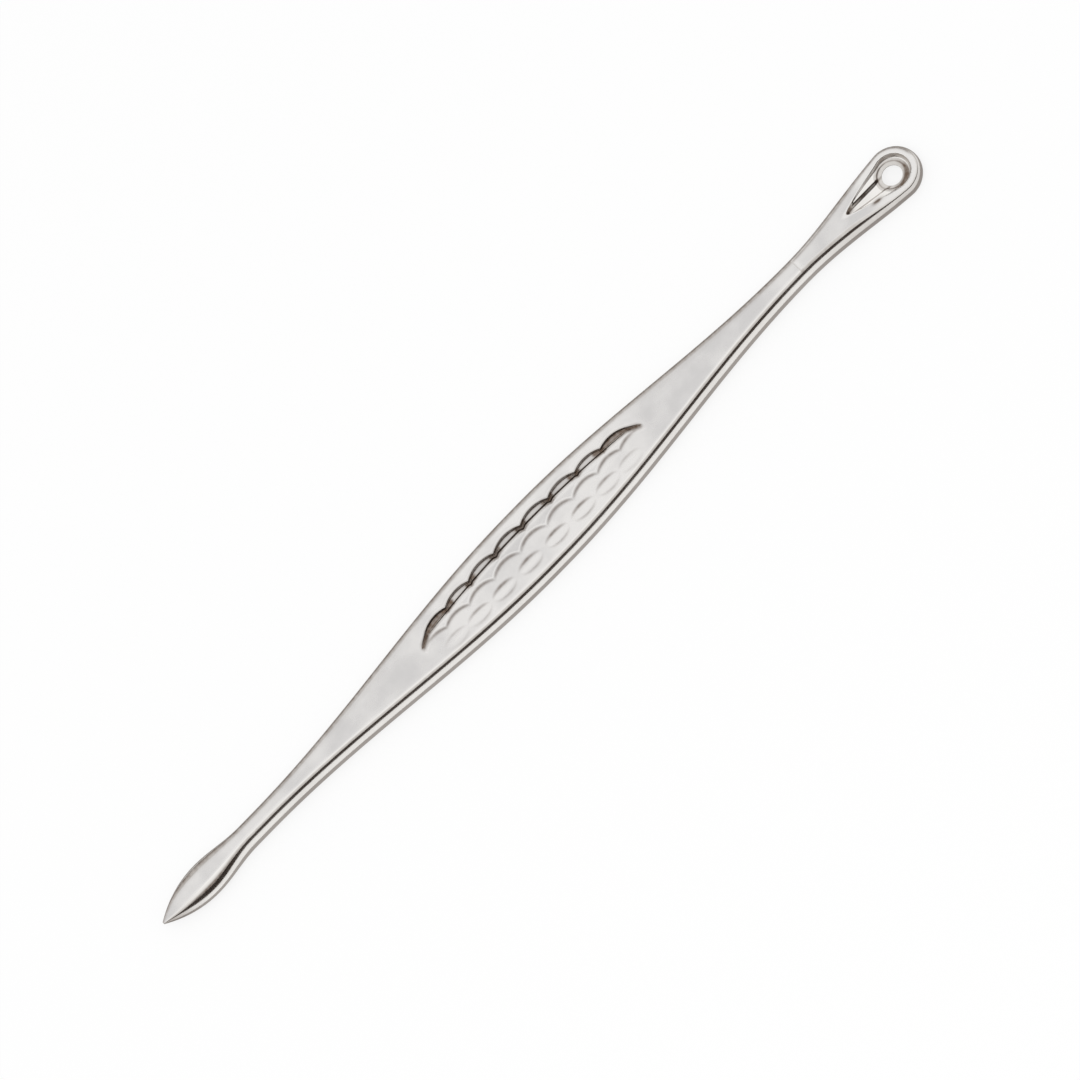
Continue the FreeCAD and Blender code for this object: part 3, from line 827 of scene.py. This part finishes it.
# Groove along the middle of the dish, and the stepped cone round the eye that it widens into
CONE_SLOPE = 0.36
CONE_STEP_RADIUS = 1.58
CONE_STEP_WIDTH = 0.16
CONE_STEP_HEIGHT = 0.12
GROOVE_DEPTH = 0.42
GROOVE_HALF = 0.04
GROOVE_SPREAD = 0.09
GROOVE_WALL = 0.46
GROOVE_START = 0.1
GROOVE_END = -0.5
GROOVE_FADE = 0.5

# Samples of the head's outline, rays of mesh round the eye, and shares of each stretch where the rings lie
FLANK_SAMPLES = 2000
ROUND_SAMPLES = 2001
NECK_TURN = math.pi - np.radians(26.0)
NECK_RAYS = 60
HEAD_RAYS = 320
CAP_RAYS = 16
FLOOR_SHARES = np.linspace(0, 1, 64)
WALL_SHARES = np.linspace(0, 1, 11)[1:]
LAND_SHARES = np.array([0.03, 0.1, 0.2, 0.3, 0.4, 0.5, 0.6, 0.7, 0.8, 0.9, 0.97])
UNDER_SHARES = np.array([0.985, 0.9, 0.6, 0.3, 0.1, 0.02, 0.0])
SINK_SHARES = np.linspace(1, 0, 8)[1:]
SHARP_ANGLE = math.radians(60)

# Painted highlights on the head, which the metal also shows smoother: the bead, the rim and the edge of the
# top
BEAD_HIGHLIGHT = 0.75
DISH_RIM_HIGHLIGHT = 0.8
HEAD_EDGE_HIGHLIGHT = 0.6

# Painted shade that follows the dish's shape
GROOVE_SHADE = 0.4
STEP_SHADE = 0.35
STEP_SHADE_WIDTH = 0.09
RIM_WALL_SHADE = 0.2
CONE_SHADE = 0.3
CONE_SHADE_RADIUS = 2.0
HEAD_SHADE_LIMIT = 0.92

# A crescent of painted shade round one side of the eye, by its turn in degrees
CRESCENT_SHADE = 1.1
CRESCENT_TURN = -56.0
CRESCENT_SPREAD = 52.0
CRESCENT_RADIUS = 1.75
CRESCENT_WIDTH = 0.36

# Spots of painted shade: strength, place along the tool from the eye, length, place across and width
SPOT_SHADE = (1.3, -3.1, 0.55, -1.36, 0.28)
APEX_SHADE = (0.8, -6.05, 0.5, 0.2, 0.24)

# Where the far side's painted shade fades in, across the top and round the sides
BORDER_START = -0.5
BORDER_FADE = 1.0
FAR_SIDE_START = -0.4
FAR_SIDE_FADE = 0.8


def top_height(x):
    """The height of the top flat at each place along the tool."""
    return middle_height(x) + half_height(x)


def under_height(x):
    """The height of the underside at each place along the tool."""
    return middle_height(x) - half_height(x)


def rim_distance(angle):
    """How far the dish's rim lies from the eye's middle, in each direction."""
    lean = np.cos(angle)
    side = np.sin(angle)
    inner = np.zeros(angle.shape)
    outer = np.full(angle.shape, APEX_REACH)
    for _ in range(RIM_HALVINGS):
        middle = (inner + outer) / 2
        rim_half = RIM_SPREAD * np.maximum(middle * lean + APEX_REACH, 0) ** RIM_POWER
        inside = middle * np.abs(side) < rim_half
        inner = np.where(inside, middle, inner)
        outer = np.where(inside, outer, middle)
    offset = HEAD_CENTRE - EYE_X
    round_end = offset * lean + np.sqrt(RIM_END_RADIUS**2 - (offset * side) ** 2)
    return np.where(lean < 0, inner, np.minimum(inner, round_end))


def groove_share(along, across):
    """How far each place lies down the groove's walls, from 0 beside it to 1 on its floor."""
    reach = along + APEX_REACH
    half = GROOVE_HALF + GROOVE_SPREAD * reach
    open_ends = step(reach - GROOVE_START, GROOVE_FADE) * step(GROOVE_END - along, GROOVE_FADE)
    return step(half + GROOVE_WALL - np.abs(across), GROOVE_WALL) * open_ends


def dish_height(along, across):
    """The height of the dish's floor, from places measured from the eye's middle."""
    ramp = top_height(EYE_X + along) - RAMP_START - RAMP_FALL * (along + APEX_REACH)
    radius = np.hypot(along, across)
    web_top = WEB_MIDDLE + WEB_EDGE / 2
    cone = web_top + CONE_SLOPE * (radius - EYE_RADIUS)
    cone = cone + CONE_STEP_HEIGHT * step(radius - CONE_STEP_RADIUS, CONE_STEP_WIDTH)
    floor_height = np.minimum(ramp, cone)
    groove_floor = np.minimum(np.maximum(ramp - GROOVE_DEPTH, web_top), cone)
    return blend(floor_height, groove_floor, groove_share(along, across))


def outline_samples():
    """The head's outline from neck corner round to neck corner: places, outward directions and stations."""
    x = np.linspace(REAR_NECK, HEAD_CENTRE, FLANK_SAMPLES)
    width = half_width(x)
    slope = np.gradient(width, x)
    slope[0] = 0
    length = np.hypot(slope, 1)
    upper = np.stack([x, width], axis=1)
    upper_out = np.stack([-slope / length, 1 / length], axis=1)
    turn = np.linspace(math.pi / 2, -math.pi / 2, ROUND_SAMPLES)[1:-1]
    round_out = np.stack([np.cos(turn), np.sin(turn)], axis=1)
    round_end = np.array([HEAD_CENTRE, 0.0]) + HEAD_HALF * round_out
    mirror = np.array([1.0, -1.0])
    places = np.concatenate([upper, round_end, upper[::-1] * mirror])
    outward = np.concatenate([upper_out, round_out, upper_out[::-1] * mirror])
    stations = np.concatenate([x, np.full(len(turn), HEAD_CENTRE), x[::-1]])
    return places, outward, stations


def edge_gap(x, y):
    """How far each place on the head's top lies in from the edge of the flat."""
    inset = side_profile(half_height(x), side_spread(x))[0][..., 0]
    flank = half_width(x) - np.abs(y)
    round_end = HEAD_HALF - np.hypot(x - HEAD_CENTRE, y)
    return np.where(x < HEAD_CENTRE, flank, round_end) - inset


def head_rays():
    """Rays round the eye: their angles, their stations along the tool and their points down the sides."""
    places, outward, stations = outline_samples()
    inset, level = side_profile(half_height(stations), side_spread(stations))
    flat_edge = places - outward * inset[:, :1]
    bearing = np.unwrap(np.arctan2(flat_edge[:, 1], flat_edge[:, 0] - EYE_X))
    corner = bearing[0]
    far_flank = np.linspace(corner, NECK_TURN, NECK_RAYS)[:-1]
    round_end = np.linspace(NECK_TURN, -NECK_TURN, HEAD_RAYS)
    angles = np.concatenate([far_flank, round_end, -far_flank[::-1]])
    cap = np.linspace(-corner, corner - 2 * math.pi, CAP_RAYS)[1:-1]

    def pick(values):
        return np.interp(-angles, -bearing, values)

    side_x = places[:, :1] - outward[:, :1] * inset
    side_y = places[:, 1:] - outward[:, 1:] * inset
    side_z = middle_height(stations)[:, None] + level
    side = np.apply_along_axis(pick, 0, np.stack([side_x, side_y, side_z], axis=-1))
    cap_side = np.zeros((len(cap),) + side.shape[1:])
    cap_side[..., 0] = REAR_NECK
    cap_side[..., 1] = ((REAR_NECK - EYE_X) * np.tan(cap))[:, None]
    cap_side[..., 2] = HALF_THICKNESS + level[0]
    ray_stations = np.concatenate([pick(stations), np.full(len(cap), REAR_NECK)])
    return np.concatenate([angles, cap]), ray_stations, np.concatenate([side, cap_side])


class HeadTop:
    """Rings over the head's top, out from the eye: dish floor, rim wall and rim land."""

    def __init__(self, angles, edge):
        rim = np.minimum(rim_distance(angles), edge - LEAST_LAND)[:, None]
        wall_foot = rim - RIM_WALL
        floor_radius = blend(EYE_RADIUS, wall_foot, FLOOR_SHARES)
        wall_radius = blend(wall_foot, rim, WALL_SHARES)
        land_radius = blend(rim, edge[:, None], LAND_SHARES)
        self.radius = np.concatenate([floor_radius, wall_radius, land_radius], axis=1)
        self.turn = np.degrees(np.angle(np.exp(1j * angles)))[:, None]
        self.along = self.radius * np.cos(angles)[:, None]
        self.across = self.radius * np.sin(angles)[:, None]
        self.x = EYE_X + self.along
        self.inside_rim = self.radius < rim
        self.drop = step(rim - self.radius, RIM_WALL)
        self.bead_share = step(self.along - BEAD_START, BEAD_FULL - BEAD_START)
        on_land = np.clip((self.radius - rim) / (edge[:, None] - rim), 0, 1)
        crest = top_height(self.x) + BEAD_HEIGHT * hump(on_land) * self.bead_share
        z = crest - self.drop * np.maximum(crest - dish_height(self.along, self.across), 0)
        self.points = np.stack([self.x, self.across, z], axis=-1)


def head_under(angles, edge):
    """Rings underneath: the flat underside, then the countersink up to the thin web round the eye."""
    flat_radius = blend(COUNTERSINK_RADIUS, edge[:, None], UNDER_SHARES)
    sink_radius = np.tile(blend(EYE_RADIUS, COUNTERSINK_RADIUS, SINK_SHARES), (len(angles), 1))
    radius = np.concatenate([flat_radius, sink_radius], axis=1)
    x = EYE_X + radius * np.cos(angles)[:, None]
    y = radius * np.sin(angles)[:, None]
    web_under = WEB_MIDDLE - WEB_EDGE / 2
    sunk = np.clip((COUNTERSINK_RADIUS - radius) / (COUNTERSINK_RADIUS - EYE_RADIUS), 0, 1)
    z = under_height(x) * (1 - sunk) + web_under * sunk
    return np.stack([x, y, z], axis=-1)


def spot(top, mark):
    """A soft spot of painted shade on the head's top."""
    strength, along, length, across, width = mark
    return strength * soft_line(top.along - along, length) * soft_line(top.across - across, width)


def head_shade(top):
    """Painted shade on the head's top: in the dish, in two spots and along the far border."""
    on_step = soft_line(top.radius - CONE_STEP_RADIUS - CONE_STEP_WIDTH / 2, STEP_SHADE_WIDTH)
    in_dish = GROOVE_SHADE * hump(groove_share(top.along, top.across)) + STEP_SHADE * on_step
    in_dish = in_dish + RIM_WALL_SHADE * hump(top.drop) + CONE_SHADE * (top.radius < CONE_SHADE_RADIUS)
    crescent = soft_line(top.turn - CRESCENT_TURN, CRESCENT_SPREAD)
    crescent = crescent * soft_line(top.radius - CRESCENT_RADIUS, CRESCENT_WIDTH)
    in_dish = in_dish + CRESCENT_SHADE * crescent + spot(top, APEX_SHADE)
    border = blend(FAR_BORDER, HEAD_BORDER, thinning(top.x))
    border = border * soft_line(edge_gap(top.x, top.across), FAR_BORDER_WIDTH)
    border = border * step(top.across - BORDER_START, BORDER_FADE)
    return np.clip(in_dish * top.inside_rim + spot(top, SPOT_SHADE) + border, 0, HEAD_SHADE_LIMIT)


def make_head():
    """The head: rays of points that run over the top, down the side and back underneath to the eye."""
    angles, stations, side = head_rays()
    edge = np.hypot(side[:, 0, 0] - EYE_X, side[:, 0, 1])
    under_edge = np.hypot(side[:, -1, 0] - EYE_X, side[:, -1, 1])
    top = HeadTop(angles, edge)
    points = np.concatenate([top.points, side, head_under(angles, under_edge)], axis=1)
    rays, rings = points.shape[:2]
    land_start = len(FLOOR_SHARES) + len(WALL_SHARES) - 1
    side_start = top.radius.shape[1]
    side_end = side_start + side.shape[1] - 1
    finishes = np.full((rays, rings), BRIGHT_INDEX)
    finishes[:, land_start:side_start] = SATIN_INDEX
    finishes[:, side_end:side_end + len(UNDER_SHARES) - 1] = SATIN_INDEX
    # Painted highlights on the bead, the dish's rim and the edge of the top
    wear_and_highlight = np.zeros((rays, rings))
    wear_and_highlight[:, :side_start] = BEAD_HIGHLIGHT * top.bead_share * ~top.inside_rim
    wear_and_highlight[:, land_start - 1:land_start + 2] = DISH_RIM_HIGHLIGHT
    wear_and_highlight[:, side_start - 1:side_start + 2] = HEAD_EDGE_HIGHLIGHT
    # Painted shade in the dish, in spots and along the far border, and dark lines painted down the sides
    shade_and_tarnish = np.zeros((rays, rings))
    shade_and_tarnish[:, :side_start] = head_shade(top)
    on_far_side = step(np.sin(angles)[:, None] - FAR_SIDE_START, FAR_SIDE_FADE)
    side_shade = blend(near_shade(stations), far_shade(stations), on_far_side)
    shade_and_tarnish[:, side_start:side_end + 1] = side_shade
    faces = grid_faces(rays, rings, closed_rows=True)
    head = make_piece("head_plated", "extractor_head", points, faces, finishes, wear_and_highlight, shade_and_tarnish)
    head.data.set_sharp_from_angle(angle=SHARP_ANGLE)


make_head()

# Floor: plain white, lit so that it shows white and keeps the tool's soft shadow
FLOOR_HALF = 4.0
FLOOR_COLOUR = (0.94, 0.94, 0.94, 1.0)
FLOOR_GLOW = 0.78
FLOOR_GLOW_IN_METAL = 0.1
WHITE = (1.0, 1.0, 1.0, 1.0)


def empty_paint(name):
    """A material without any shader nodes."""
    paint = bpy.data.materials.new(name)
    paint.use_nodes = True
    paint.node_tree.nodes.clear()
    return paint


def show_shader(tree, kind, shader):
    """Sends a shader to a new output node."""
    tree.links.new(shader, tree.nodes.new(kind).inputs["Surface"])


def make_floor():
    """A wide square floor, partly matt and partly glowing."""
    corners = [
        (-FLOOR_HALF, -FLOOR_HALF, 0),
        (FLOOR_HALF, -FLOOR_HALF, 0),
        (FLOOR_HALF, FLOOR_HALF, 0),
        (-FLOOR_HALF, FLOOR_HALF, 0),
    ]
    mesh = bpy.data.meshes.new("floor")
    mesh.from_pydata(corners, [], [(0, 1, 2, 3)])
    paint = empty_paint("white_floor")
    tree = paint.node_tree
    path = tree.nodes.new("ShaderNodeLightPath").outputs
    glow = calculate(tree, "MULTIPLY", path["Is Camera Ray"], FLOOR_GLOW)
    glow = calculate(tree, "MULTIPLY_ADD", path["Is Glossy Ray"], FLOOR_GLOW_IN_METAL, glow)
    glow = calculate(tree, "MULTIPLY_ADD", path["Is Transmission Ray"], FLOOR_GLOW, glow)
    matt = shade(tree, "ShaderNodeBsdfDiffuse", "BSDF", {"Color": FLOOR_COLOUR})
    white = shade(tree, "ShaderNodeEmission", "Emission", {"Color": WHITE, "Strength": 1.0})
    mixed = shade(tree, "ShaderNodeMixShader", "Shader", {"Fac": glow, 1: matt, 2: white})
    show_shader(tree, "ShaderNodeOutputMaterial", mixed)
    mesh.materials.append(paint)
    floor = add_object("floor", mesh)


def make_prop(name, points, faces, paint_name, colour):
    """A prop of one plain colour, which only the metal's reflections see."""
    mesh = bpy.data.meshes.new(name)
    mesh.from_pydata(points.tolist(), [], faces.tolist())
    paint = empty_paint(paint_name)
    glow = shade(paint.node_tree, "ShaderNodeEmission", "Emission", {"Color": colour})
    show_shader(paint.node_tree, "ShaderNodeOutputMaterial", glow)
    mesh.materials.append(paint)
    prop = add_object(name, mesh)
    prop.visible_camera = False
    prop.visible_diffuse = False
    prop.visible_shadow = False
    prop.visible_transmission = False


# Dark studio cards: a low ring round the set, higher on the near side; angles in degrees above the floor
CARD_DISTANCE = 0.6
CARD_LOW_ANGLE = 13.0
CARD_FOOT_ANGLE = 5.0
CARD_HIGH_ANGLE = 40.0
CARD_POWER = 0.8
CARD_SEGMENTS = 96
CARD_COLOUR = (0.07, 0.057, 0.05, 1.0)


def make_cards():
    """The ring of dark cards."""
    bearing = 2 * np.pi * np.arange(CARD_SEGMENTS) / CARD_SEGMENTS
    nearness = np.maximum(-np.sin(bearing), 0) ** CARD_POWER
    top_angle = blend(CARD_LOW_ANGLE, CARD_HIGH_ANGLE, nearness)
    foot_angle = np.full(CARD_SEGMENTS, CARD_FOOT_ANGLE)
    rings = []
    for angle in (foot_angle, top_angle):
        rings.append(np.stack([np.cos(bearing), np.sin(bearing), np.tan(np.radians(angle))], axis=1))
    points = CARD_DISTANCE * np.concatenate(rings)
    make_prop("dark_cards", points, grid_faces(2, CARD_SEGMENTS), "dark_felt", CARD_COLOUR)


# Grey sheet under the tool, which only the metal's reflections see: painted shade that stands in for the
# shaded floor close to the tool, reaching further out on the far side than on the near one
MAT_NEAR = 1.7
MAT_FAR = 7.0
MAT_END = 2.0
MAT_LIFT = 0.03
MAT_STATIONS = 160
MAT_TURNS = 20
SHADE_SHEET_COLOUR = (0.4, 0.375, 0.36, 1.0)


def make_shade_sheet():
    """The grey sheet of painted shade, which follows the tool's outline."""
    x = np.linspace(TIP, HEAD_CENTRE, MAT_STATIONS)
    turn = np.linspace(math.pi / 2, 0, MAT_TURNS)[1:]
    width = np.concatenate([[0.0], half_width(x), HEAD_HALF * np.sin(turn)])
    x = np.concatenate([[TIP - MAT_END], x, HEAD_CENTRE + (HEAD_HALF + MAT_END) * np.cos(turn)])
    lift = np.full(len(x), MAT_LIFT)
    near = np.stack([x, -width - MAT_NEAR, lift], axis=1)
    far = np.stack([x, width + MAT_FAR, lift], axis=1)
    points = MM * np.stack([near, far], axis=1).reshape(-1, 3)
    faces = grid_faces(len(x), 2, closed_columns=False)
    make_prop("shade_sheet", points, faces, "shade_sheet_grey", SHADE_SHEET_COLOUR)


# World: white wherever the camera or the metal looks past the set, gentler as a lamp
WORLD_FILL = 0.75


def make_world():
    """The white studio round the set."""
    world = bpy.data.worlds.new("studio")
    bpy.context.scene.world = world
    world.use_nodes = True
    tree = world.node_tree
    tree.nodes.clear()
    path = tree.nodes.new("ShaderNodeLightPath").outputs
    seen = calculate(tree, "MAXIMUM", path["Is Camera Ray"], path["Is Glossy Ray"])
    seen = calculate(tree, "MAXIMUM", seen, path["Is Transmission Ray"])
    fill = shade(tree, "ShaderNodeBackground", "Background", {"Color": WHITE, "Strength": WORLD_FILL})
    backdrop = shade(tree, "ShaderNodeBackground", "Background", {"Color": WHITE, "Strength": 1.0})
    mixed = shade(tree, "ShaderNodeMixShader", "Shader", {"Fac": seen, 1: fill, 2: backdrop})
    show_shader(tree, "ShaderNodeOutputWorld", mixed)


# Soft overhead lamp for the shadow
LAMP_SIZE = 0.9
LAMP_POWER = 4.6
LAMP_PLACE = Vector((-0.15, -0.5, 1.0))


def make_lamp():
    """A round lamp aimed at the tool, which the metal doesn't reflect."""
    lamp_data = bpy.data.lights.new("key", "AREA")
    lamp_data.shape = "DISK"
    lamp_data.size = LAMP_SIZE
    lamp_data.energy = LAMP_POWER
    lamp = add_object("key", lamp_data)
    lamp.location = LAMP_PLACE
    lamp.rotation_mode = "QUATERNION"
    lamp.rotation_quaternion = (-LAMP_PLACE).to_track_quat("-Z", "Y")
    lamp.visible_glossy = False
    lamp.visible_camera = False


# Camera: well above the tool on its near side, turned so that the tool runs up to the right
VIEW_ELEVATION = math.radians(60.0)
TOOL_RISE = math.radians(45.73)
FRAME_WIDTH = 0.11543
CAMERA_DISTANCE = 1.2
NEAREST_SEEN = 0.01
FARTHEST_SEEN = 20.0
SENSOR = 36.0
FRAME_PIXELS = 1080
TOOL_MIDDLE_PIXELS = (539.0, 538.1)


def make_camera():
    """The camera, aimed so that the tool's middle falls on its place in the picture."""
    camera_data = bpy.data.cameras.new("camera")
    camera_data.sensor_width = SENSOR
    camera_data.lens = SENSOR * CAMERA_DISTANCE / FRAME_WIDTH
    camera_data.clip_start = NEAREST_SEEN
    camera_data.clip_end = FARTHEST_SEEN
    camera = add_object("camera", camera_data)
    back = Vector((0.0, -math.cos(VIEW_ELEVATION), math.sin(VIEW_ELEVATION)))
    level_up = Vector((0.0, math.sin(VIEW_ELEVATION), math.cos(VIEW_ELEVATION)))
    along_tool = Vector((1.0, 0.0, 0.0))
    right = math.cos(TOOL_RISE) * along_tool - math.sin(TOOL_RISE) * level_up
    up = math.sin(TOOL_RISE) * along_tool + math.cos(TOOL_RISE) * level_up
    pixel = FRAME_WIDTH / FRAME_PIXELS
    half_frame = FRAME_PIXELS / 2
    aim = Vector((0.0, 0.0, HALF_THICKNESS * MM))
    aim += right * (half_frame - TOOL_MIDDLE_PIXELS[0]) * pixel
    aim += up * (TOOL_MIDDLE_PIXELS[1] - half_frame) * pixel
    place = aim + back * CAMERA_DISTANCE
    camera.matrix_world = Matrix((
        (right.x, up.x, back.x, place.x),
        (right.y, up.y, back.y, place.y),
        (right.z, up.z, back.z, place.z),
        (0.0, 0.0, 0.0, 1.0),
    ))
    bpy.context.scene.camera = camera


make_floor()
make_cards()
make_shade_sheet()
make_world()
make_lamp()
make_camera()
bpy.context.scene.view_settings.view_transform = "Standard"
